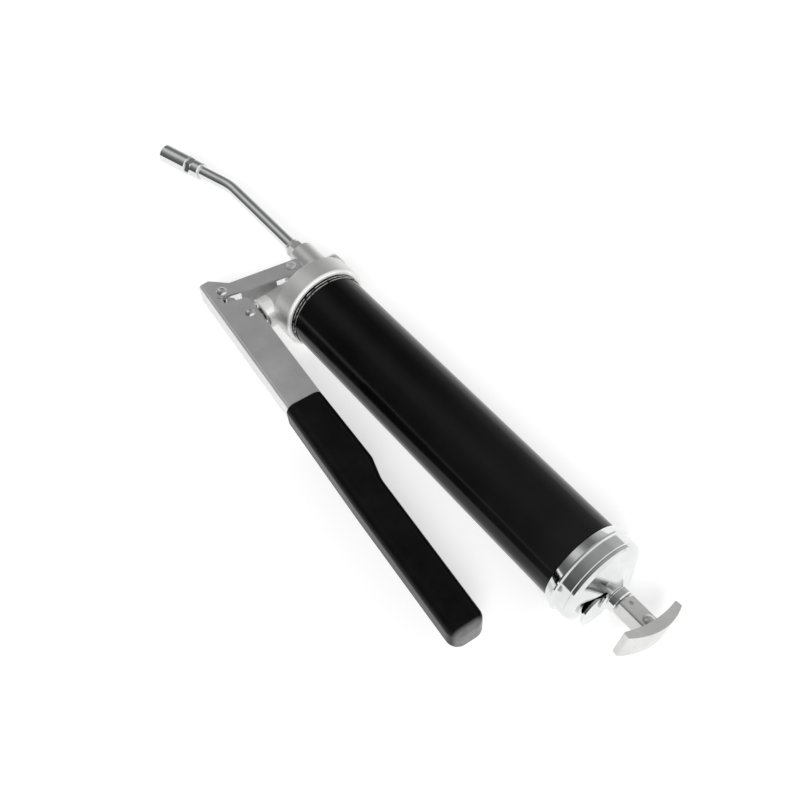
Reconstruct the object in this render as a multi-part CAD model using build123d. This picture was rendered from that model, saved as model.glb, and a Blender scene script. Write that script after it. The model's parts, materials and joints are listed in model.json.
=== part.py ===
from build123d import *
import math
import os

# Hand lever grease gun for cartridge grease.
#
# It is designed about its barrel: X runs along the barrel's axis towards the delivery pipe,
# Y points to the lever's side, Z is up and the origin is the centre of the head skirt's rim.
# At the end everything is moved so that the whole gun stands on Z = 0, centred in X and Y.
# Lengths are millimetres and angles are degrees.

# ---- driving dimensions -------------------------------------------------------------------

# Barrel
BARREL_R = 28.5
BARREL_WALL = 1.5
BARREL_FRONT_X = 13.0
BARREL_REAR_X = -266.0
THREAD_PITCH = 2.2
THREAD_HEIGHT = 0.6
THREAD_RINGS = 8

# Head casting
SKIRT_R = 32.6
SKIRT_RIM_R = 30.9
SKIRT_BORE_R = 29.3
SKIRT_LENGTH = 17.4
DECK_INNER_X = 14.5
DECK_OUTER_X = 20.0
CYLINDER_X = 25.2
CYLINDER_R = 11.5
CYLINDER_LEVER_Y = 37.8
CYLINDER_FAR_Y = -31.8
LUG_R = 6.2
LUG_ROOT_HALF = 8.4
LUG_HALF_WIDTH = 8.8
OUTLET_Y = -16.8
OUTLET_BOSS_Y = -17.8
OUTLET_BOSS_R = 9.8
OUTLET_BOSS_X = 56.0

# Pump: plunger, gland and outlet check valve
PLUNGER_R = 5.0
RUNNING_GAP = 0.05
PLUNGER_TIP_Y = -9.0
EYE_R = 7.0
EYE_HALF_WIDTH = 6.5
EYE_FOOT = 5.7
PASSAGE_R = 2.5
VALVE_SEAT_X = 33.5
VALVE_CHAMBER_R = 4.5
BALL_R = 3.5
ADAPTER_SOCKET_X = 45.0
ADAPTER_THREAD_R = 6.2
ADAPTER_HEX_END_X = 63.0
ADAPTER_END_X = 66.5

# Lever linkage: link pivot on the head, link to lever, lever to plunger
LINK_PIVOT = (41.0, 0.0)
LEVER_PIVOT = (53.0, 51.3)
PLUNGER_PIVOT = (CYLINDER_X, 45.9)
LEVER_TILT = 5.4
LEVER_HALF_WIDTH = 9.0
SHEET = 2.0
WEB_EDGE_R = 2.2
LINK_HALF_WIDTH = 11.0
LINK_SHEET = 1.8
LINK_BOLT_R = 2.5
LINK_BOLT_PLAY = 0.3
LINK_BOLT_HEAD_R = 3.8
LINK_BOLT_HEAD = 1.4
LINK_NUT_FLATS = 8.0
LINK_NUT_HEIGHT = 2.4
PIVOT_PIN_R = 3.0
PLUNGER_PIN_R = 2.5
SLOT_SIDE_GAP = 0.45
SLOT_END_GAP = 1.75

# Grip, in the lever's own frame: X to the nozzle, Y away from the barrel, origin at the link pin
GRIP_START_X = -115.0
GRIP_END_X = -306.0
GRIP_HALF_WIDTH = 12.0
GRIP_EDGE_R = 6.4

# Delivery pipe and coupler
PIPE_R = 5.0
PIPE_BORE_R = 2.0
PIPE_START_X = 56.0
PIPE_CORNER_X = 150.5
PIPE_TURN = 15.5
PIPE_BEND_R = 48.0
HEX_FLATS = 13.0
COUPLER_START = 30.2
COUPLER_END = COUPLER_START + 41.0
COUPLER_COLLAR = 8.5
COUPLER_NUT = 5.0
COUPLER_PIPE_DEPTH = 12.0
COUPLER_FLATS = 12.0
COUPLER_MOUTH_R = 3.4

# End cap and rod lock
CAP_RIDGE_R = 31.6
CAP_BAND_R = 30.2
CAP_NECK_R = 8.6
CAP_NECK_X = -288.9
CAP_BUSH_R = 7.4
LOCK_TAB_X = -283.4
LOCK_TAB_ANGLE = -14.0
LOCK_TAB_REACH = 13.0
LOCK_TAB_R = 12.8
LOCK_TAB_FOOT = 8.5
LOCK_TAB_SHEET = 1.6

# Follower rod and T-handle
ROD_R = 4.0
ROD_FRONT_X = 5.0
ROD_REAR_X = -306.0
FOLLOWER_X = -18.0
HANDLE_TURN = 26.0
HANDLE_SHANK_X = -291.8
HANDLE_TIP_INNER_X = -308.3
HANDLE_TIP_OUTER_X = -312.8
HANDLE_MID_INNER_X = -311.5
HANDLE_MID_OUTER_X = -318.7
HANDLE_HALF_LENGTH = 26.5
HANDLE_HALF_WIDTH = 7.8
HANDLE_PIN_X = -295.5
HANDLE_PIN_R = 1.5
SHANK_WIDTH = 13.6
SHANK_THICKNESS = 9.6
SHANK_RIB_R = 4.5
SHANK_RIB_X = -309.4

# ---- shape helpers ------------------------------------------------------------------------


def turned(*profile):
    """A solid of revolution about X, from (x, radius) points."""
    return revolve(make_face(Polyline(*profile, close=True)), axis=Axis.X)


def bar(x_from, x_to, radius):
    """A round bar along X."""
    middle = (x_from + x_to) / 2
    return Pos(middle, 0, 0) * Rot(0, 90, 0) * Cylinder(radius, abs(x_to - x_from))


def ring(x_from, x_to, outer_r, inner_r):
    """A plain ring along X."""
    return turned((x_from, inner_r), (x_to, inner_r), (x_to, outer_r), (x_from, outer_r))


def hexagon(x_from, x_to, flats, lead=0.9):
    """A hexagonal prism along X with its corners turned down at both ends."""
    prism = extrude(Plane.YZ * RegularPolygon(flats / 2, 6, major_radius=False), x_to - x_from)
    corner_r = flats / math.sqrt(3)
    lead = min(lead, (x_to - x_from) / 3)
    blank = turned(
        (x_from, 0),
        (x_from, flats / 2 - 0.1),
        (x_from + lead, corner_r + 0.1),
        (x_to - lead, corner_r + 0.1),
        (x_to, flats / 2 - 0.1),
        (x_to, 0),
    )
    return Pos(x_from, 0, 0) * prism & blank


def pin(radius, half_length):
    """A round pin along Z, centred on the origin."""
    return Cylinder(radius, 2 * half_length)


def slab(outline, half_width):
    """A flat outline in XY made into a plate of the given half width, centred on Z = 0."""
    return extrude(outline, half_width, both=True)


def dome(radius, height):
    """A low domed rivet head standing on Z = 0."""
    sphere_r = (radius**2 + height**2) / (2 * height)
    ball = Pos(0, 0, height - sphere_r) * Sphere(sphere_r)
    return ball & Pos(0, 0, height / 2) * Cylinder(radius + 1, height)


def rivet(radius, half_grip, head_r, head_height):
    """A rivet along Z with a domed head at each end."""
    head = Pos(0, 0, half_grip) * dome(head_r, head_height)
    return pin(radius, half_grip) + head + mirror(head, about=Plane.XY)


def coil(x_from, x_to, mean_r, wire_r, turns):
    """A helical spring along X."""
    height = x_to - x_from - 2 * wire_r
    path = Helix(pitch=height / turns, height=height, radius=mean_r)
    wire = sweep(Plane(path @ 0, z_dir=path % 0) * Circle(wire_r), path=path, is_frenet=True)
    return Pos(x_from + wire_r, 0, 0) * Rot(0, 90, 0) * wire


def joined(body, addition, radius):
    """Two solids made one, with a cast fillet along the edges where they meet."""
    combined = body + addition
    return fillet(new_edges(body, addition, combined=combined), radius)


def at_xy(point):
    return Pos(point[0], point[1], 0)


# Frames of the sub-assemblies that don't run along the barrel
CYLINDER_FRAME = Pos(CYLINDER_X, 0, 0) * Rot(0, 0, 90)
OUTLET_FRAME = Pos(0, OUTLET_Y, 0)
COUPLER_FRAME = Pos(PIPE_CORNER_X, OUTLET_Y, 0) * Rot(0, 0, PIPE_TURN)
LEVER_FRAME = at_xy(LEVER_PIVOT) * Rot(0, 0, -LEVER_TILT)
LINK_LENGTH = math.dist(LINK_PIVOT, LEVER_PIVOT)
LINK_ANGLE = math.degrees(
    math.atan2(LEVER_PIVOT[1] - LINK_PIVOT[1], LEVER_PIVOT[0] - LINK_PIVOT[0])
)
LINK_FRAME = at_xy(LINK_PIVOT) * Rot(0, 0, LINK_ANGLE)
LOCK_FRAME = Rot(LOCK_TAB_ANGLE, 0, 0)
HANDLE_FRAME = Rot(HANDLE_TURN, 0, 0)

# ---- head ---------------------------------------------------------------------------------


def make_head():
    skirt = turned(
        (0, SKIRT_BORE_R),
        (0, SKIRT_RIM_R),
        (1.7, SKIRT_R),
        (SKIRT_LENGTH - 1.1, SKIRT_R),
        (SKIRT_LENGTH, SKIRT_R - 1.1),
        (DECK_OUTER_X, 24),
        (DECK_OUTER_X + 0.6, 0),
        (DECK_INNER_X, 0),
        (DECK_INNER_X, SKIRT_BORE_R),
    )
    edge = 0.8
    mouth_edge = 1.6
    cylinder = CYLINDER_FRAME * turned(
        (CYLINDER_FAR_Y, 0),
        (CYLINDER_FAR_Y, CYLINDER_R - edge),
        (CYLINDER_FAR_Y + edge, CYLINDER_R),
        (CYLINDER_LEVER_Y, CYLINDER_R),
        (CYLINDER_LEVER_Y, 0),
    )
    mouth = cylinder.edges().sort_by(Axis.Y)[-1]
    cylinder = fillet(mouth, mouth_edge)
    lug_outline = Polygon(
        (CYLINDER_X, -LUG_ROOT_HALF),
        (LINK_PIVOT[0], -LUG_R),
        (LINK_PIVOT[0], LUG_R),
        (CYLINDER_X, LUG_ROOT_HALF),
        align=None,
    )
    lug = slab(lug_outline + at_xy(LINK_PIVOT) * Circle(LUG_R), LUG_HALF_WIDTH)
    outlet_boss = Pos(0, OUTLET_BOSS_Y, 0) * turned(
        (CYLINDER_X, 0),
        (CYLINDER_X, CYLINDER_R - 0.5),
        (33, CYLINDER_R - 1.0),
        (40, OUTLET_BOSS_R + 0.1),
        (OUTLET_BOSS_X - 1.2, OUTLET_BOSS_R),
        (OUTLET_BOSS_X, OUTLET_BOSS_R - 1.2),
        (OUTLET_BOSS_X, 0),
    )
    pump = joined(cylinder, outlet_boss, 2.0)
    pump = joined(pump, lug, 0.6)
    head = skirt + pump
    head -= bar(-1, DECK_INNER_X, SKIRT_BORE_R)

    pump_bore = CYLINDER_FRAME * turned(
        (CYLINDER_FAR_Y - 1, 0),
        (CYLINDER_FAR_Y - 1, 6.5),
        (-23, 6.5),
        (-23, PLUNGER_R + RUNNING_GAP),
        (24, PLUNGER_R + RUNNING_GAP),
        (24, 7.5),
        (CYLINDER_LEVER_Y + 1, 7.5),
        (CYLINDER_LEVER_Y + 1, 0),
    )
    outlet_passage = OUTLET_FRAME * turned(
        (CYLINDER_X, 0),
        (CYLINDER_X, PASSAGE_R),
        (VALVE_SEAT_X, PASSAGE_R),
        (VALVE_SEAT_X, VALVE_CHAMBER_R),
        (ADAPTER_SOCKET_X, VALVE_CHAMBER_R),
        (ADAPTER_SOCKET_X, ADAPTER_THREAD_R),
        (OUTLET_BOSS_X + 1, ADAPTER_THREAD_R),
        (OUTLET_BOSS_X + 1, 0),
    )
    inlet_port = Pos(0, 9, 0) * bar(DECK_INNER_X - 1, CYLINDER_X, 3)
    bolt_hole = at_xy(LINK_PIVOT) * pin(LINK_BOLT_R, LUG_HALF_WIDTH + 1)
    return head - pump_bore - outlet_passage - inlet_port - bolt_hole


def make_gland_nut():
    """Screwed into the cylinder's mouth: it presses the packing and guides the plunger."""
    face = CYLINDER_LEVER_Y - 0.5
    body = turned(
        (28, PLUNGER_R + RUNNING_GAP),
        (28, 7.45),
        (face - 0.4, 7.45),
        (face, 7.0),
        (face, PLUNGER_R + RUNNING_GAP + 0.5),
        (face - 0.5, PLUNGER_R + RUNNING_GAP),
    )
    spanner_slot = Pos(face, 0, 0) * Box(2, 2, 16)
    return CYLINDER_FRAME * (body - spanner_slot)


def make_end_plug():
    """Hexagon-headed plug that closes the far end of the pump cylinder."""
    thread = bar(CYLINDER_FAR_Y, -24, 6.45)
    head = hexagon(CYLINDER_FAR_Y - 1.6, CYLINDER_FAR_Y, 15)
    return CYLINDER_FRAME * (thread + head)


def make_link_bolt():
    """Pivot bolt of the link, with a low round head above and its end in the nut below."""
    top = LINK_HALF_WIDTH + LINK_BOLT_PLAY
    bottom = -top - LINK_NUT_HEIGHT
    shank = Pos(0, 0, (top + bottom) / 2) * Cylinder(LINK_BOLT_R, top - bottom)
    head = Pos(0, 0, top) * dome(LINK_BOLT_HEAD_R, LINK_BOLT_HEAD)
    return at_xy(LINK_PIVOT) * (shank + head)


def make_link_nut():
    face = LINK_HALF_WIDTH + LINK_BOLT_PLAY
    nut = Rot(0, 90, 0) * hexagon(face, face + LINK_NUT_HEIGHT, LINK_NUT_FLATS)
    return at_xy(LINK_PIVOT) * (nut - pin(LINK_BOLT_R, 20))


# ---- barrel and end cap -------------------------------------------------------------------


def make_barrel():
    """The tube, with its rolled thread as raised rings at the head end."""
    outline = [(BARREL_FRONT_X, BARREL_R - BARREL_WALL), (BARREL_FRONT_X, BARREL_R)]
    for index in range(THREAD_RINGS):
        crest_x = BARREL_FRONT_X - 1.3 - index * THREAD_PITCH
        outline += [
            (crest_x + 0.8, BARREL_R),
            (crest_x + 0.2, BARREL_R + THREAD_HEIGHT),
            (crest_x - 0.2, BARREL_R + THREAD_HEIGHT),
            (crest_x - 0.8, BARREL_R),
        ]
    outline += [(BARREL_REAR_X, BARREL_R), (BARREL_REAR_X, BARREL_R - BARREL_WALL)]
    return turned(*outline)


def make_end_cap():
    fit_r = BARREL_R + 0.05
    shell = turned(
        (-258.0, fit_r),
        (-258.0, 29.3),
        (-263.6, CAP_RIDGE_R),
        (-264.6, CAP_RIDGE_R),
        (-265.4, CAP_BAND_R),
        (-272.6, CAP_BAND_R),
        (-273.2, CAP_BAND_R - 0.6),
        (-273.8, CAP_BAND_R - 0.1),
        (-275.2, 29.8),
        (-276.3, 29.0),
        (-277.2, 27.8),
        (-285.8, 10.6),
        (-286.6, CAP_NECK_R + 0.3),
        (CAP_NECK_X, CAP_NECK_R),
        (CAP_NECK_X, CAP_BUSH_R + 0.05),
        (-286.0, CAP_BUSH_R + 0.05),
        (-284.9, 9.8),
        (-276.2, 27.4),
        (-275.0, fit_r),
    )
    slot_rear_x = LOCK_TAB_X - 1.9
    slot_front_x = LOCK_TAB_X + 4.0
    slot_near_y = 4.0
    slot_far_y = 30.0
    slot_place = Pos((slot_rear_x + slot_front_x) / 2, (slot_near_y + slot_far_y) / 2, 0)
    slot = LOCK_FRAME * slot_place * Box(
        slot_front_x - slot_rear_x, slot_far_y - slot_near_y, 2 * (LOCK_TAB_R + 1)
    )
    return shell - slot


def make_cap_bush():
    """Guide bush of the rod, pressed into the cap's neck with its collar outside."""
    collar_r = CAP_NECK_R + 0.3
    collar_end_x = CAP_NECK_X - 2.3
    return turned(
        (-286.0, ROD_R + RUNNING_GAP),
        (-286.0, CAP_BUSH_R),
        (CAP_NECK_X, CAP_BUSH_R),
        (CAP_NECK_X, collar_r),
        (collar_end_x + 0.7, collar_r),
        (collar_end_x, collar_r - 0.8),
        (collar_end_x, ROD_R + RUNNING_GAP),
    )


def make_lock_tab():
    """Plate that grips the rod. Its half-round end stands out of the cap as a thumb tab."""
    round_end = Pos(LOCK_TAB_REACH, 0, 0) * Circle(LOCK_TAB_R)
    inner_end = RectangleRounded(2 * LOCK_TAB_FOOT, 14, 2)
    rod_hole = Circle(ROD_R + 0.5)
    outline = round_end + inner_end - rod_hole
    plate = extrude(outline, LOCK_TAB_SHEET / 2, both=True)
    return LOCK_FRAME * Pos(LOCK_TAB_X, 0, 0) * Rot(0, 90, 0) * Rot(0, 0, 90) * plate


# ---- follower, rod and T-handle -----------------------------------------------------------


def make_follower_cup():
    """Rubber piston: a disc with a thin lip that wipes the barrel."""
    lip_r = BARREL_R - BARREL_WALL - 0.25
    return turned(
        (FOLLOWER_X, ROD_R + RUNNING_GAP),
        (FOLLOWER_X, 24.5),
        (FOLLOWER_X - 8, lip_r - 0.4),
        (FOLLOWER_X - 9, lip_r),
        (FOLLOWER_X - 2, lip_r),
        (FOLLOWER_X + 10, lip_r - 0.3),
        (FOLLOWER_X + 13, lip_r - 1.4),
        (FOLLOWER_X + 4, 22.0),
        (FOLLOWER_X + 4, ROD_R + RUNNING_GAP),
    )


def make_follower_plate():
    """Pressed steel backing plate with the spring's centring ring."""
    return turned(
        (FOLLOWER_X, ROD_R + RUNNING_GAP),
        (FOLLOWER_X, 21.5),
        (FOLLOWER_X - 5, 19.0),
        (FOLLOWER_X - 5, 17.4),
        (FOLLOWER_X - 1.6, 17.4),
        (FOLLOWER_X - 1.6, ROD_R + RUNNING_GAP),
    )


def make_t_handle():
    """Curved channel across the end of the rod, open towards the barrel, with its shank."""
    outer = ThreePointArc(
        (HANDLE_TIP_OUTER_X, -HANDLE_HALF_LENGTH),
        (HANDLE_MID_OUTER_X, 0),
        (HANDLE_TIP_OUTER_X, HANDLE_HALF_LENGTH),
    )
    inner = ThreePointArc(
        (HANDLE_TIP_INNER_X, HANDLE_HALF_LENGTH - 0.8),
        (HANDLE_MID_INNER_X, 0),
        (HANDLE_TIP_INNER_X, -HANDLE_HALF_LENGTH + 0.8),
    )
    outline = make_face([outer, Line(outer @ 1, inner @ 0), inner, Line(inner @ 1, outer @ 0)])
    crescent = slab(outline, HANDLE_HALF_WIDTH)
    crescent = fillet(crescent.edges().filter_by(Axis.Z), 1.2)
    wall = 2.2
    pocket_face = make_face(
        [
            ThreePointArc(
                (HANDLE_TIP_OUTER_X + wall, -HANDLE_HALF_LENGTH + wall),
                (HANDLE_MID_OUTER_X + wall, 0),
                (HANDLE_TIP_OUTER_X + wall, HANDLE_HALF_LENGTH - wall),
            ),
            Polyline(
                (HANDLE_TIP_OUTER_X + wall, HANDLE_HALF_LENGTH - wall),
                (-300, HANDLE_HALF_LENGTH - wall),
                (-300, -HANDLE_HALF_LENGTH + wall),
                (HANDLE_TIP_OUTER_X + wall, -HANDLE_HALF_LENGTH + wall),
            ),
        ]
    )
    channel = crescent - slab(pocket_face, HANDLE_HALF_WIDTH - wall)
    shank_length = HANDLE_SHANK_X - HANDLE_MID_OUTER_X - wall
    shank = Pos(HANDLE_SHANK_X - shank_length / 2, 0, 0) * Box(
        shank_length, SHANK_WIDTH, SHANK_THICKNESS
    )
    shank = fillet(shank.edges().filter_by(Axis.X), 1.2)
    shank = fillet(shank.faces().sort_by(Axis.X)[-1].edges(), 0.6)
    rib_z = HANDLE_HALF_WIDTH - 0.2 - SHANK_RIB_R
    rib = Pos(0, 0, rib_z) * bar(SHANK_RIB_X, HANDLE_MID_OUTER_X + 2 * wall, SHANK_RIB_R)
    rib_start = Pos(SHANK_RIB_X, 0, rib_z) * Sphere(SHANK_RIB_R)
    rod_socket = bar(HANDLE_SHANK_X + 1, ROD_REAR_X - 0.2, ROD_R)
    pin_hole = Pos(HANDLE_PIN_X, 0, 0) * pin(HANDLE_PIN_R, SHANK_THICKNESS)
    return HANDLE_FRAME * (channel + shank + rib + rib_start - rod_socket - pin_hole)


def make_handle_pin():
    """Cross pin that holds the T-handle on the rod."""
    return HANDLE_FRAME * Pos(HANDLE_PIN_X, 0, 0) * pin(HANDLE_PIN_R, SHANK_THICKNESS / 2)


def make_rod():
    """Follower rod, with a turned-down front end for the retaining nut."""
    rod = turned(
        (ROD_FRONT_X, 0),
        (ROD_FRONT_X, ROD_R - 0.6),
        (ROD_FRONT_X - 0.6, ROD_R),
        (ROD_REAR_X, ROD_R),
        (ROD_REAR_X, 0),
    )
    return rod - HANDLE_FRAME * Pos(HANDLE_PIN_X, 0, 0) * pin(HANDLE_PIN_R, SHANK_THICKNESS)


# ---- lever and link -----------------------------------------------------------------------


def lever_outline():
    """Side view of the pressed channel, in the lever's frame."""
    outline = Polygon(
        (15.4, 11.0),
        (15.9, 3.3),
        (5.3, -8.9),
        (-4.0, -9.5),
        (-5.2, 3.0),
        (-9.2, 3.0),
        (-13.9, -13.6),
        (-118.0, -13.6),
        (-128.0, -12.4),
        (-166.0, -12.4),
        (-188.0, -9.4),
        (-297.0, -9.4),
        (-297.0, 10.4),
        (-118.0, 11.0),
        align=None,
    )
    corner = outline.vertices().sort_by_distance((-13.9, -13.6))[0]
    return fillet(corner, 3.0)


def make_lever_channel():
    channel = slab(lever_outline(), LEVER_HALF_WIDTH)
    web_edges = channel.edges().filter_by(lambda edge: edge.center().Y > 10 and edge.length > 100)
    channel = fillet(web_edges, WEB_EDGE_R)
    hollow = Polygon(
        (17.0, 11.0 - SHEET),
        (-118.0, 11.0 - SHEET),
        (-298.0, 10.4 - SHEET),
        (-298.0, -15.0),
        (17.0, -15.0),
        align=None,
    )
    channel -= slab(hollow, LEVER_HALF_WIDTH - SHEET)
    plunger_pin = LEVER_FRAME.inverse() * at_xy(PLUNGER_PIVOT) * pin(PLUNGER_PIN_R, 20)
    return LEVER_FRAME * (channel - pin(PIVOT_PIN_R + RUNNING_GAP, 20) - plunger_pin)


def make_grip():
    """Sleeve over the lever, deeper behind a finger hump and rounded at its end."""
    hump_x = -176.0
    waist_x = -193.0
    outline = Polygon(
        (GRIP_START_X, -14.4),
        (hump_x, -15.6),
        (waist_x, -11.8),
        (GRIP_END_X, -11.6),
        (GRIP_END_X, 12.2),
        (-200.0, 13.0),
        (GRIP_START_X, 12.4),
        align=None,
    )

    def corner(x, y):
        return outline.vertices().sort_by_distance((x, y))[0]

    outline = fillet([corner(GRIP_END_X, -11.6), corner(GRIP_END_X, 12.2)], 8.0)
    outline = fillet(outline.vertices().sort_by_distance((hump_x, -15.6))[0], 14.0)
    outline = fillet(outline.vertices().sort_by_distance((waist_x, -11.8))[0], 30.0)
    sleeve = slab(outline, GRIP_HALF_WIDTH)
    long_edges = [
        edge
        for edge in sleeve.faces().filter_by(Axis.Z).edges()
        if edge.center().X < GRIP_START_X - 0.5
    ]
    sleeve = fillet(long_edges, GRIP_EDGE_R)
    inner = slab(offset(lever_outline(), 0.1), LEVER_HALF_WIDTH + 0.1)
    return LEVER_FRAME * (sleeve - inner)


def make_link():
    """Pressed channel that straddles the head's lug and the lever."""
    nose_r = 5.4
    root_r = 7.4
    flange = (
        Polygon(
            (0, root_r),
            (16, 7.6),
            (36, 6.8),
            (LINK_LENGTH, nose_r),
            (LINK_LENGTH, -5.0),
            (0, -5.0),
            align=None,
        )
        + (Circle(root_r) - Pos(0, -15.0) * Rectangle(40, 20))
        + Pos(LINK_LENGTH, 0) * Circle(nose_r)
    )
    block = slab(flange, LINK_HALF_WIDTH)
    inner_half = LINK_HALF_WIDTH - LINK_SHEET
    room = Pos(LINK_LENGTH / 2, 20 - 5.0 + LINK_SHEET, 0) * Box(100, 40, 2 * inner_half)
    web_from = 12.0
    web_to = LINK_LENGTH - 13.5
    head_gap = Pos(web_from - 20, 0, 0) * Box(40, 40, 2 * inner_half)
    lever_gap = Pos(web_to + 20, 0, 0) * Box(40, 40, 2 * inner_half)
    link = block - room - head_gap - lever_gap
    link -= pin(LINK_BOLT_R + RUNNING_GAP, 20)
    link -= Pos(LINK_LENGTH, 0, 0) * pin(PIVOT_PIN_R, 20)
    return LINK_FRAME * link


def make_plunger():
    """Hardened plunger with a flat eye, slotted so that the lever's pin can move along X."""
    rod = CYLINDER_FRAME * turned(
        (PLUNGER_TIP_Y, 0),
        (PLUNGER_TIP_Y, PLUNGER_R - 0.8),
        (PLUNGER_TIP_Y + 0.8, PLUNGER_R),
        (PLUNGER_PIVOT[1] - 4, PLUNGER_R),
        (PLUNGER_PIVOT[1] - 4, 0),
    )
    eye_outline = SlotCenterToCenter(3.4, 2 * EYE_R)
    below_foot = Pos(0, -EYE_FOOT - 10) * Rectangle(30, 20)
    eye = at_xy(PLUNGER_PIVOT) * slab(eye_outline - below_foot, EYE_HALF_WIDTH)
    slot_outline = SlotCenterToCenter(2 * SLOT_END_GAP, 2 * (PLUNGER_PIN_R + SLOT_SIDE_GAP))
    slot = at_xy(PLUNGER_PIVOT) * slab(slot_outline, EYE_HALF_WIDTH + 1)
    return rod + eye - slot


# ---- delivery pipe and coupler ------------------------------------------------------------


def make_adapter():
    """Hexagon adapter that holds the pipe in the outlet boss."""
    spigot = bar(ADAPTER_SOCKET_X + 0.05, OUTLET_BOSS_X, ADAPTER_THREAD_R - 0.03)
    nut = hexagon(OUTLET_BOSS_X, ADAPTER_HEX_END_X, HEX_FLATS, 1.6)
    collar = turned(
        (ADAPTER_HEX_END_X, 0),
        (ADAPTER_HEX_END_X, 6.0),
        (ADAPTER_END_X - 0.6, 6.0),
        (ADAPTER_END_X, 5.5),
        (ADAPTER_END_X, 0),
    )
    bore = turned(
        (ADAPTER_SOCKET_X - 1, 0),
        (ADAPTER_SOCKET_X - 1, PIPE_BORE_R),
        (PIPE_START_X, PIPE_BORE_R),
        (PIPE_START_X, PIPE_R + 0.02),
        (ADAPTER_END_X + 1, PIPE_R + 0.02),
        (ADAPTER_END_X + 1, 0),
    )
    return OUTLET_FRAME * (spigot + nut + collar - bore)


def pipe_path(end_along):
    """Centre line of the pipe, from its socket round the bend to the coupler."""
    half_turn = math.radians(PIPE_TURN / 2)
    tangent = PIPE_BEND_R * math.tan(half_turn)
    turn = math.radians(PIPE_TURN)
    bend_start = Vector(PIPE_CORNER_X - tangent, OUTLET_Y)
    bend_end = Vector(
        PIPE_CORNER_X + tangent * math.cos(turn), OUTLET_Y + tangent * math.sin(turn)
    )
    finish = Vector(
        PIPE_CORNER_X + end_along * math.cos(turn), OUTLET_Y + end_along * math.sin(turn)
    )
    straight = Line((PIPE_START_X + 0.05, OUTLET_Y), bend_start)
    bend = TangentArc(bend_start, bend_end, tangent=(1, 0))
    return straight + bend + Line(bend_end, finish)


def make_pipe():
    path = pipe_path(COUPLER_START + COUPLER_PIPE_DEPTH)
    section = Circle(PIPE_R) - Circle(PIPE_BORE_R)
    return sweep(Pos(PIPE_START_X + 0.05, OUTLET_Y, 0) * Rot(0, 90, 0) * section, path=path)


def make_lock_collar():
    start = COUPLER_START
    end = start + COUPLER_COLLAR
    collar = turned(
        (start, PIPE_R + 0.02),
        (start, 6.1),
        (start + 0.8, 6.9),
        (end - 0.8, 6.9),
        (end, 6.1),
        (end, PIPE_R + 0.02),
    )
    return COUPLER_FRAME * collar


def make_coupler_body():
    """Hexagon screwed on the pipe, and the nose that holds the spring inside the sleeve."""
    start = COUPLER_START + COUPLER_COLLAR
    nut_end = start + COUPLER_NUT
    nose_end = COUPLER_END - 14.8
    pipe_stop = COUPLER_START + COUPLER_PIPE_DEPTH + 0.2
    spring_seat = COUPLER_END - 20.8
    nut = hexagon(start, nut_end, COUPLER_FLATS)
    nose = bar(nut_end, nose_end, 5.9)
    bore = turned(
        (start - 1, 0),
        (start - 1, PIPE_R + 0.02),
        (pipe_stop, PIPE_R + 0.02),
        (pipe_stop, PIPE_BORE_R),
        (spring_seat, PIPE_BORE_R),
        (spring_seat, 4.6),
        (nose_end + 1, 4.6),
        (nose_end + 1, 0),
    )
    return COUPLER_FRAME * (nut + nose - bore)


def make_coupler_sleeve():
    start = COUPLER_START + COUPLER_COLLAR + COUPLER_NUT + 0.1
    end = COUPLER_END
    sleeve = turned(
        (start, 5.93),
        (start, 6.9),
        (start + 0.6, 7.4),
        (end - 1.8, 7.4),
        (end, 6.2),
        (end, 4.3),
        (end - 1.6, 4.3),
        (end - 3.2, 5.93),
    )
    return COUPLER_FRAME * sleeve


def make_coupler_jaws():
    """Four spring-loaded jaws that close behind the head of a grease nipple."""
    end = COUPLER_END
    cone = turned(
        (end - 9.5, COUPLER_MOUTH_R),
        (end - 9.5, 5.8),
        (end - 3.6, 5.8),
        (end - 2.0, 4.2),
        (end - 0.4, 4.2),
        (end - 0.4, COUPLER_MOUTH_R),
    )
    for angle in (0, 90):
        cone -= Pos(end - 5, 0, 0) * Rot(angle, 0, 0) * Box(12, 20, 0.6)
    return COUPLER_FRAME * Rot(45, 0, 0) * cone


def make_coupler_seal():
    end = COUPLER_END
    return COUPLER_FRAME * ring(end - 12, end - 9.6, 5.7, 1.6)


# ---- the whole gun ------------------------------------------------------------------------

ball_x = VALVE_SEAT_X + math.sqrt(BALL_R**2 - PASSAGE_R**2) + 0.03
spring_start_x = ball_x + BALL_R + 0.05

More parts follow.
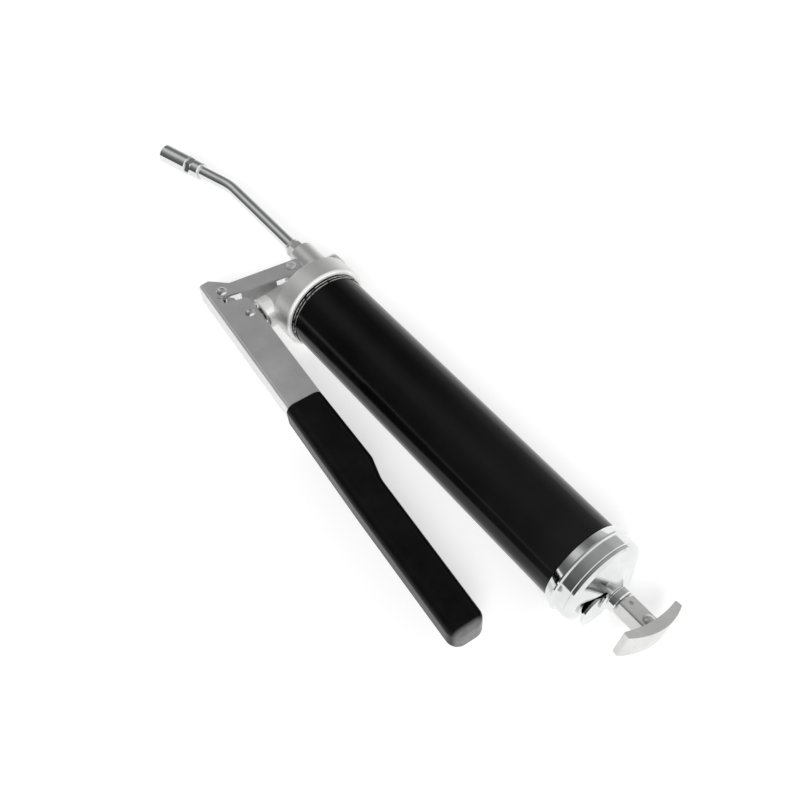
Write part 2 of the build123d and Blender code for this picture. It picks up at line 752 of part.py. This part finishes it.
parts = {
    # fixed to the barrel
    "head_casting": make_head(),
    "head_gasket": ring(BARREL_FRONT_X, DECK_INNER_X, SKIRT_BORE_R - 0.1, 24),
    "barrel_tube": make_barrel(),
    "end_cap": make_end_cap(),
    "end_cap_bush": make_cap_bush(),
    "rod_guide_washer": ring(-273.6, -272.0, 26.8, ROD_R + 0.6),
    "rod_lock_spring": coil(-282.5, -273.7, 6.4, 0.6, 3),
    "gland_nut": make_gland_nut(),
    "plunger_seal": CYLINDER_FRAME * ring(24.05, 27.95, 7.45, PLUNGER_R + RUNNING_GAP),
    "cylinder_end_plug": make_end_plug(),
    "outlet_check_spring": OUTLET_FRAME * coil(spring_start_x, ADAPTER_SOCKET_X, 3.2, 0.4, 3),
    "outlet_adapter": make_adapter(),
    "delivery_pipe": make_pipe(),
    "coupler_lock_collar": make_lock_collar(),
    "coupler_body": make_coupler_body(),
    "coupler_sleeve": make_coupler_sleeve(),
    "coupler_spring": COUPLER_FRAME * coil(COUPLER_END - 20.7, COUPLER_END - 12.1, 3.8, 0.6, 5),
    "link_bolt": make_link_bolt(),
    "link_nut": make_link_nut(),
    "follower_spring": coil(-271.9, FOLLOWER_X - 1.7, 15.6, 1.25, 14),
    # link
    "link_channel": make_link(),
    "lever_rivet": at_xy(LEVER_PIVOT) * rivet(PIVOT_PIN_R, LINK_HALF_WIDTH, 3.9, 1.9),
    # lever
    "lever_channel": make_lever_channel(),
    "lever_grip": make_grip(),
    "plunger_rivet": at_xy(PLUNGER_PIVOT) * rivet(PLUNGER_PIN_R, LEVER_HALF_WIDTH, 3.8, 1.9),
    # plunger
    "plunger": make_plunger(),
    # follower
    "follower_cup": make_follower_cup(),
    "follower_plate": make_follower_plate(),
    "follower_washer": ring(FOLLOWER_X + 4.05, FOLLOWER_X + 6, 12, ROD_R + RUNNING_GAP),
    # rod
    "follower_rod": make_rod(),
    "follower_nut": hexagon(FOLLOWER_X + 6.2, FOLLOWER_X + 12.6, HEX_FLATS)
    - bar(FOLLOWER_X, FOLLOWER_X + 20, ROD_R),
    "rod_stop_ring": ring(FOLLOWER_X - 3.2, FOLLOWER_X - 1.8, 6.2, ROD_R),
    "t_handle": make_t_handle(),
    "t_handle_pin": make_handle_pin(),
    # the rest of the moving pieces
    "rod_lock_tab": make_lock_tab(),
    "outlet_check_ball": Pos(ball_x, OUTLET_Y, 0) * Sphere(BALL_R),
    "coupler_jaws": make_coupler_jaws(),
    "coupler_seal": make_coupler_seal(),
}

whole = Compound(children=[Part() + shape for shape in parts.values()]).bounding_box()
ORIGIN_SHIFT = Vector(-whole.center().X, -whole.center().Y, -whole.min.Z)

os.makedirs("parts", exist_ok=True)
for name, shape in parts.items():
    export_step(Pos(ORIGIN_SHIFT) * shape, f"parts/{name}.step")
print("origin shift", [round(value, 4) for value in ORIGIN_SHIFT])
print("size", [round(value, 2) for value in whole.size])
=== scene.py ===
"""Lever grease gun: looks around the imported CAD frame. Lengths are metres unless a name says mm."""
import json
import math

import bpy
from mathutils import Matrix, Vector


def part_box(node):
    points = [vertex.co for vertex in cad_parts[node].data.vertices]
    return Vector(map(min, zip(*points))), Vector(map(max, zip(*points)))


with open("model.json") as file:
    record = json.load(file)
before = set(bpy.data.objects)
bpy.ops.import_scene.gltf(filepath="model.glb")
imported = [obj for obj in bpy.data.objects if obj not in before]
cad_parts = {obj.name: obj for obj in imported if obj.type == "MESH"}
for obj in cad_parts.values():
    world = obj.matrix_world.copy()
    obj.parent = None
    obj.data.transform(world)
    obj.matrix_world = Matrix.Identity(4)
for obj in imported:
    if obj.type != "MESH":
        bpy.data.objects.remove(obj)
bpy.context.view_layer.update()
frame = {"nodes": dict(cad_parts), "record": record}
nodes = frame["nodes"]
MM = 0.001

# ---- places, worked out from the frame ----------------------------------------------------

tube_low, tube_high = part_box("barrel_tube")
head_low, head_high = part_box("head_casting")
# The design's own origin: on the barrel's axis, at the rim of the head's skirt
AXIS_Y = (tube_low.y + tube_high.y) / 2
AXIS_Z = (tube_low.z + tube_high.z) / 2
RIM = Vector((head_low.x, AXIS_Y, AXIS_Z))
SKIRT_R = (head_high.z - head_low.z) / 2
SKIRT_FRONT = 17.4 * MM
THREAD_CREST = (tube_high.z - tube_low.z) / 2
THREAD_END = -6 * MM  # where the worn thread ends behind the rim
DUST_FROM = -90 * MM
DUST_FULL = -250 * MM
LEVER_PIN = Vector((53.0, 51.3, 0)) * MM  # the link's pin in the lever, from RIM
LEVER_TILT = math.radians(5.4)
GRIP_END = -306 * MM


# ---- material building blocks -------------------------------------------------------------


class Finish:
    """A Principled material under construction, with short calls for its texture nodes."""

    def __init__(self, name, color, metallic, roughness, **sockets):
        self.material = bpy.data.materials.new(name)
        self.material.use_nodes = True
        self.nodes = self.material.node_tree.nodes
        self.links = self.material.node_tree.links
        self.shader = self.nodes["Principled BSDF"]
        self.shader.inputs["Base Color"].default_value = (*color, 1)
        self.shader.inputs["Metallic"].default_value = metallic
        self.shader.inputs["Roughness"].default_value = roughness
        for socket, value in sockets.items():
            self.shader.inputs[socket.replace("_", " ")].default_value = value
        self.place = self.nodes.new("ShaderNodeTexCoord").outputs["Object"]

    def split(self):
        """The three object coordinates."""
        node = self.nodes.new("ShaderNodeSeparateXYZ")
        self.links.new(self.place, node.inputs[0])
        return node.outputs

    def mapped(self, scale):
        """Object coordinates, scaled along each axis."""
        node = self.nodes.new("ShaderNodeMapping")
        node.vector_type = "POINT"
        node.inputs["Scale"].default_value = scale
        self.links.new(self.place, node.inputs["Vector"])
        return node.outputs["Vector"]

    def noise(self, scale, detail=4.0, rough=0.55, vector=None):
        node = self.nodes.new("ShaderNodeTexNoise")
        node.inputs["Scale"].default_value = scale
        node.inputs["Detail"].default_value = detail
        node.inputs["Roughness"].default_value = rough
        self.links.new(vector or self.place, node.inputs["Vector"])
        return node.outputs["Fac"]

    def cells(self, scale, vector=None):
        node = self.nodes.new("ShaderNodeTexVoronoi")
        node.inputs["Scale"].default_value = scale
        self.links.new(vector or self.place, node.inputs["Vector"])
        return node.outputs["Distance"]

    def spread(self, value, low, high, to_low, to_high):
        """value from low..high to to_low..to_high, held at the ends."""
        node = self.nodes.new("ShaderNodeMapRange")
        node.inputs["From Min"].default_value = low
        node.inputs["From Max"].default_value = high
        node.inputs["To Min"].default_value = to_low
        node.inputs["To Max"].default_value = to_high
        self.links.new(value, node.inputs["Value"])
        return node.outputs["Result"]

    def sum(self, a, b, operation="ADD"):
        node = self.nodes.new("ShaderNodeMath")
        node.operation = operation
        for socket, value in zip(node.inputs, (a, b)):
            if isinstance(value, (int, float)):
                socket.default_value = value
            else:
                self.links.new(value, socket)
        return node.outputs[0]

    def tint(self, fac, dark, light):
        """Base colour between two colours."""
        self.links.new(self.blended(fac, dark, light), self.shader.inputs["Base Color"])

    def blended(self, fac, dark, light):
        """A colour between two colours, each an output or plain numbers."""
        node = self.nodes.new("ShaderNodeMix")
        node.data_type = "RGBA"
        for socket, color in ((node.inputs[6], dark), (node.inputs[7], light)):
            if isinstance(color, tuple):
                socket.default_value = (*color, 1)
            else:
                self.links.new(color, socket)
        self.links.new(fac, node.inputs[0])
        return node.outputs[2]

    def rough(self, value):
        self.links.new(value, self.shader.inputs["Roughness"])

    def bump(self, height, strength, depth):
        node = self.nodes.new("ShaderNodeBump")
        node.inputs["Strength"].default_value = strength
        node.inputs["Distance"].default_value = depth
        self.links.new(height, node.inputs["Height"])
        self.links.new(node.outputs["Normal"], self.shader.inputs["Normal"])


def along_barrel(f):
    """Distance from the skirt's rim along the barrel, and distance from the barrel's axis."""
    x, y, z = f.split()
    y = f.sum(y, AXIS_Y, "SUBTRACT")
    z = f.sum(z, AXIS_Z, "SUBTRACT")
    radius = f.sum(f.sum(f.sum(y, y, "MULTIPLY"), f.sum(z, z, "MULTIPLY")), 0.5, "POWER")
    return f.sum(x, RIM.x, "SUBTRACT"), radius


def along_lever(f):
    """Distance from the link's pin along the lever, negative towards the grip's end."""
    x, y = f.split()[:2]
    x = f.sum(x, RIM.x + LEVER_PIN.x, "SUBTRACT")
    y = f.sum(y, RIM.y + LEVER_PIN.y, "SUBTRACT")
    x = f.sum(x, math.cos(LEVER_TILT), "MULTIPLY")
    y = f.sum(y, math.sin(LEVER_TILT), "MULTIPLY")
    return f.sum(x, y, "SUBTRACT")


def gloss_black_enamel():
    """Black enamel, worn to the steel on the rolled thread's crests and dusty towards the rear."""
    f = Finish("gloss_black_enamel", (0.004, 0.004, 0.0045), 0.0, 0.16, IOR=1.26)
    haze = f.noise(24, 5, 0.6)
    wiped = f.noise(1.0, 4, 0.6, f.mapped((6, 90, 90)))
    specks = f.spread(f.cells(700), 0.03, 0.07, 1, 0)
    along, radius = along_barrel(f)
    crest = f.spread(radius, THREAD_CREST - 0.25 * MM, THREAD_CREST - 0.05 * MM, 0, 1)
    scuffs = f.spread(f.noise(1.0, 3, 0.6, f.mapped((700, 260, 260))), 0.40, 0.52, 0, 1)
    threaded = f.spread(along, THREAD_END - 1 * MM, THREAD_END, 0, 1)
    worn = f.sum(f.sum(crest, scuffs, "MULTIPLY"), threaded, "MULTIPLY")
    paint = f.spread(f.sum(haze, f.sum(specks, 0.12, "MULTIPLY")), 0.35, 0.75, 0, 1)
    shade = f.blended(paint, (0.0012, 0.0012, 0.0014), (0.0045, 0.0045, 0.005))
    rear = f.spread(along, DUST_FROM, DUST_FULL, 0, 1)
    dust = f.sum(rear, f.spread(f.noise(9, 4, 0.6), 0.35, 0.65, 0.35, 1), "MULTIPLY")
    shade = f.blended(dust, shade, (0.013, 0.013, 0.0135))
    f.tint(worn, shade, (0.62, 0.62, 0.61))
    f.links.new(worn, f.shader.inputs["Metallic"])
    f.rough(f.sum(f.spread(wiped, 0.3, 0.75, 0.11, 0.2), f.sum(worn, 0.15, "MULTIPLY")))
    f.bump(f.noise(260, 2, 0.5), 0.08, 0.0002)
    return f.material


def satin_casting():
    """Satin die casting with both rims of the skirt painted bright, partly as turned metal and partly
    as a painted highlight.
    """
    f = Finish("satin_casting", (0.56, 0.56, 0.55), 0.8, 0.38)
    mottle = f.noise(60, 5, 0.6)
    grain = f.noise(1400, 3, 0.6)
    along, radius = along_barrel(f)
    rear_rim = f.spread(along, 0.9 * MM, 1.1 * MM, 1, 0)
    front_rim = f.spread(along, SKIRT_FRONT - 1.25 * MM, SKIRT_FRONT - 1.1 * MM, 0, 1)
    outside = f.spread(radius, SKIRT_R - 1.35 * MM, SKIRT_R - 1.15 * MM, 0, 1)
    # Both rims are painted pale and less metallic: partly turned metal, partly a painted highlight on
    # the rim chamfers.
    turned_and_highlit_rim = f.sum(rear_rim, f.sum(front_rim, outside, "MULTIPLY"), "MAXIMUM")
    cast = f.blended(f.spread(mottle, 0.3, 0.7, 0, 1), (0.72, 0.72, 0.71), (0.82, 0.82, 0.81))
    f.tint(turned_and_highlit_rim, cast, (0.86, 0.86, 0.85))
    f.links.new(f.spread(turned_and_highlit_rim, 0, 1, 0.8, 0.35), f.shader.inputs["Metallic"])
    satin = f.spread(f.sum(mottle, grain), 0.6, 1.4, 0.33, 0.46)
    f.rough(f.sum(satin, f.sum(turned_and_highlit_rim, 0.16, "MULTIPLY"), "SUBTRACT"))
    f.bump(grain, 0.12, 0.0001)
    return f.material


def satin_zinc(name="satin_zinc", color=(0.78, 0.785, 0.78), rough=(0.32, 0.44)):
    """Zinc plate over pressed sheet, with rolling marks along the sheet."""
    f = Finish(name, color, 0.9, 0.34)
    mottle = f.noise(38, 5, 0.6)
    rolled = f.noise(1.0, 3, 0.6, f.mapped((40, 1900, 1900)))
    spots = f.spread(f.noise(420, 3, 0.6), 0.62, 0.72, 0, 1)
    dark = tuple(0.90 * c for c in color)
    light = tuple(1.08 * c for c in color)
    shade = f.spread(mottle, 0.3, 0.7, 0, 1)
    f.tint(f.sum(shade, f.sum(spots, 0.5, "MULTIPLY"), "SUBTRACT"), dark, light)
    f.rough(f.spread(f.sum(mottle, rolled), 0.6, 1.4, *rough))
    f.bump(rolled, 0.08, 0.0001)
    return f.material


def bright_plate():
    f = Finish("bright_plate", (0.80, 0.81, 0.81), 1.0, 0.12)
    mottle = f.noise(70, 4, 0.6)
    f.tint(f.spread(mottle, 0.3, 0.7, 0, 1), (0.72, 0.73, 0.73), (0.82, 0.83, 0.83))
    f.rough(f.spread(mottle, 0.3, 0.75, 0.07, 0.15))
    f.bump(f.noise(500, 2, 0.5), 0.03, 0.0001)
    return f.material


def machined_steel():
    f = Finish("machined_steel", (0.42, 0.42, 0.43), 1.0, 0.3)
    mottle = f.noise(120, 4, 0.6)
    f.tint(f.spread(mottle, 0.3, 0.7, 0, 1), (0.36, 0.36, 0.37), (0.48, 0.48, 0.49))
    f.rough(f.spread(mottle, 0.3, 0.75, 0.22, 0.38))
    f.bump(f.noise(900, 2, 0.5), 0.05, 0.0001)
    return f.material


def sleeve_vinyl():
    """Dipped black vinyl, with the end of the grip painted pale as painted light."""
    f = Finish("sleeve_vinyl", (0.007, 0.007, 0.0075), 0.0, 0.3, IOR=1.17)
    mottle = f.noise(50, 5, 0.6)
    shade = f.spread(mottle, 0.3, 0.7, 0, 1)
    vinyl = f.blended(shade, (0.003, 0.003, 0.0033), (0.007, 0.007, 0.0075))
    # The grip's end is painted pale: painted light standing in for the light on its end face.
    painted_end_light = f.spread(along_lever(f), GRIP_END + 4 * MM, GRIP_END + 1.5 * MM, 0, 1)
    patches = f.spread(f.noise(180, 4, 0.6), 0.35, 0.65, 0.75, 1)
    f.tint(f.sum(painted_end_light, patches, "MULTIPLY"), vinyl, (0.17, 0.17, 0.17))
    f.rough(f.spread(mottle, 0.3, 0.7, 0.18, 0.28))
    f.bump(f.sum(f.noise(900, 3, 0.6), f.noise(90, 2, 0.5)), 0.08, 0.0001)
    return f.material


def black_rubber():
    f = Finish("black_rubber", (0.02, 0.02, 0.02), 0.0, 0.6)
    grain = f.noise(400, 3, 0.6)
    f.tint(grain, (0.014, 0.014, 0.014), (0.028, 0.028, 0.028))
    f.rough(f.spread(grain, 0.3, 0.7, 0.5, 0.7))
    f.bump(grain, 0.1, 0.0001)
    return f.material


finishes = {
    "black_paint": gloss_black_enamel(),
    "cast_metal": satin_casting(),
    "zinc_plate": satin_zinc(),
    "bright_plate": bright_plate(),
    "steel": machined_steel(),
    "rubber_grip": sleeve_vinyl(),
    "rubber_seal": black_rubber(),
}
# Nodes whose plating differs from their slot's
special_finishes = {
    "t_handle": satin_zinc("handle_nickel", (0.72, 0.72, 0.71), (0.26, 0.38)),
}

slot_of = {part["node"]: part["material_slot"] for part in frame["record"]["subparts"]}
for name, node in nodes.items():
    node.data.materials.clear()
    node.data.materials.append(special_finishes.get(name, finishes[slot_of[name]]))

# ---- floor, light and camera --------------------------------------------------------------


def make_floor():
    half = 3.0
    mesh = bpy.data.meshes.new("floor")
    corners = [(-half, -half, 0), (half, -half, 0), (half, half, 0), (-half, half, 0)]
    mesh.from_pydata(corners, [], [(0, 1, 2, 3)])
    floor = bpy.data.objects.new("floor", mesh)
    bpy.context.scene.collection.objects.link(floor)
    f = Finish("pale_floor", (0.55, 0.55, 0.55), 0.0, 0.9)
    f.shader.inputs["Emission Color"].default_value = (1, 1, 1, 1)
    f.shader.inputs["Emission Strength"].default_value = 0.58
    mesh.materials.append(f.material)


# Studio brightness round the barrel's axis, from the horizon on the lever's side, over the top,
# to the horizon on the other side: degrees, brightness towards the nozzle, brightness across
# The values were typed in to follow grey levels that a scratch script read off the photograph's
# pipe, barrel and cap by reflection angle, so this is not an independent design of plain panels.
STUDIO_ARC = (
    (0, 0.12, 0.09),
    (18, 0.13, 0.09),
    (36, 0.20, 0.15),
    (50, 0.34, 0.15),
    (62, 0.58, 0.19),
    (75, 0.68, 0.25),
    (88, 0.58, 0.29),
    (102, 0.30, 0.34),
    (114, 0.19, 0.36),
    (136, 0.17, 0.36),
    (152, 0.36, 0.48),
    (166, 0.56, 0.50),
    (180, 0.68, 0.52),
)
REAR_PANEL = 1.0
PALE = 0.93


def studio_ramp(tree, fac, stops):
    """Brightness through the given (degrees, brightness) stops over half a turn."""
    ramp = tree.nodes.new("ShaderNodeValToRGB")
    while len(ramp.color_ramp.elements) < len(stops):
        ramp.color_ramp.elements.new(0.5)
    for element, (degrees, value) in zip(ramp.color_ramp.elements, stops):
        element.position = degrees / 180
        element.color = (value, value, value, 1)
    tree.links.new(fac, ramp.inputs["Fac"])
    return ramp.outputs["Color"]


def make_world():
    """A studio of soft panels, written as brightness by direction."""
    world = bpy.data.worlds.new("studio")
    bpy.context.scene.world = world
    world.use_nodes = True
    tree = world.node_tree
    link = tree.links.new

    def math_node(operation, a, b=0.0):
        node = tree.nodes.new("ShaderNodeMath")
        node.operation = operation
        for socket, value in zip(node.inputs, (a, b)):
            if isinstance(value, (int, float)):
                socket.default_value = value
            else:
                link(value, socket)
        return node.outputs[0]

    def step(value, low, high):
        """0 below low and 1 above high, smooth between."""
        node = tree.nodes.new("ShaderNodeMapRange")
        node.interpolation_type = "SMOOTHSTEP"
        node.inputs["From Min"].default_value = low
        node.inputs["From Max"].default_value = high
        link(value, node.inputs["Value"])
        return node.outputs["Result"]

    def mixed(fac, a, b):
        """Grey a where fac is 0 and grey b where it is 1."""
        keep = math_node("MULTIPLY", a, math_node("SUBTRACT", 1.0, fac))
        return math_node("ADD", keep, math_node("MULTIPLY", b, fac))

    place = tree.nodes.new("ShaderNodeTexCoord")
    split = tree.nodes.new("ShaderNodeSeparateXYZ")
    link(place.outputs["Generated"], split.inputs[0])
    x, y, z = split.outputs
    arc = math_node("DIVIDE", math_node("ARCTAN2", z, y), math.pi)
    towards, across = (
        studio_ramp(tree, arc, [(stop[0], stop[column]) for stop in STUDIO_ARC]) for column in (1, 2)
    )
    panels = mixed(step(x, 0.22, 0.62), across, towards)
    rear = math_node("SUBTRACT", 1.0, step(x, -0.55, -0.38))
    rear = math_node("MULTIPLY", rear, math_node("SUBTRACT", 1.0, step(z, 0.82, 0.94)))
    sky = mixed(rear, panels, REAR_PANEL)
    below = math_node("SUBTRACT", 1.0, step(z, -0.01, 0.01))
    around = mixed(below, sky, PALE)
    seen = tree.nodes.new("ShaderNodeLightPath").outputs["Is Camera Ray"]
    link(mixed(seen, around, PALE), tree.nodes["Background"].inputs["Color"])


def aimed(obj, place, target):
    obj.location = place
    obj.rotation_mode = "QUATERNION"
    obj.rotation_quaternion = (Vector(target) - Vector(place)).to_track_quat("-Z", "Y")


def sun(name, direction, strength, angle):
    light = bpy.data.lights.new(name, "SUN")
    light.energy = strength
    light.angle = math.radians(angle)
    obj = bpy.data.objects.new(name, light)
    bpy.context.scene.collection.objects.link(obj)
    obj.visible_glossy = False
    aimed(obj, Vector(direction), (0, 0, 0))


# The camera is a least-squares fit to points on the photograph's barrel, rim and cap.
# Where the lens axis meets the barrel's plane, from RIM
CAMERA_TARGET = Vector((-96.2, 9.0, 0)) * MM
CAMERA_DISTANCE = 0.693
CAMERA_AZIMUTH = math.radians(145.34)
CAMERA_ELEVATION = math.radians(54.27)
CAMERA_ROLL = math.radians(-4.45)


def make_camera():
    data = bpy.data.cameras.new("camera")
    data.lens = 47.2
    data.sensor_width = 36
    camera = bpy.data.objects.new("camera", data)
    bpy.context.scene.collection.objects.link(camera)
    bpy.context.scene.camera = camera
    back = Vector((
        math.cos(CAMERA_AZIMUTH) * math.cos(CAMERA_ELEVATION),
        math.sin(CAMERA_AZIMUTH) * math.cos(CAMERA_ELEVATION),
        math.sin(CAMERA_ELEVATION),
    ))
    level_right = Vector((0, 0, 1)).cross(back).normalized()
    level_up = back.cross(level_right)
    right = math.cos(CAMERA_ROLL) * level_right + math.sin(CAMERA_ROLL) * level_up
    up = back.cross(right)
    turn = Matrix((right, up, back)).transposed().to_4x4()
    camera.matrix_world = Matrix.Translation(RIM + CAMERA_TARGET + back * CAMERA_DISTANCE) @ turn


make_floor()
make_world()
sun("key", (-0.55, 0.45, 0.72), 2.0, 24)
make_camera()
bpy.context.scene.view_settings.view_transform = "Standard"
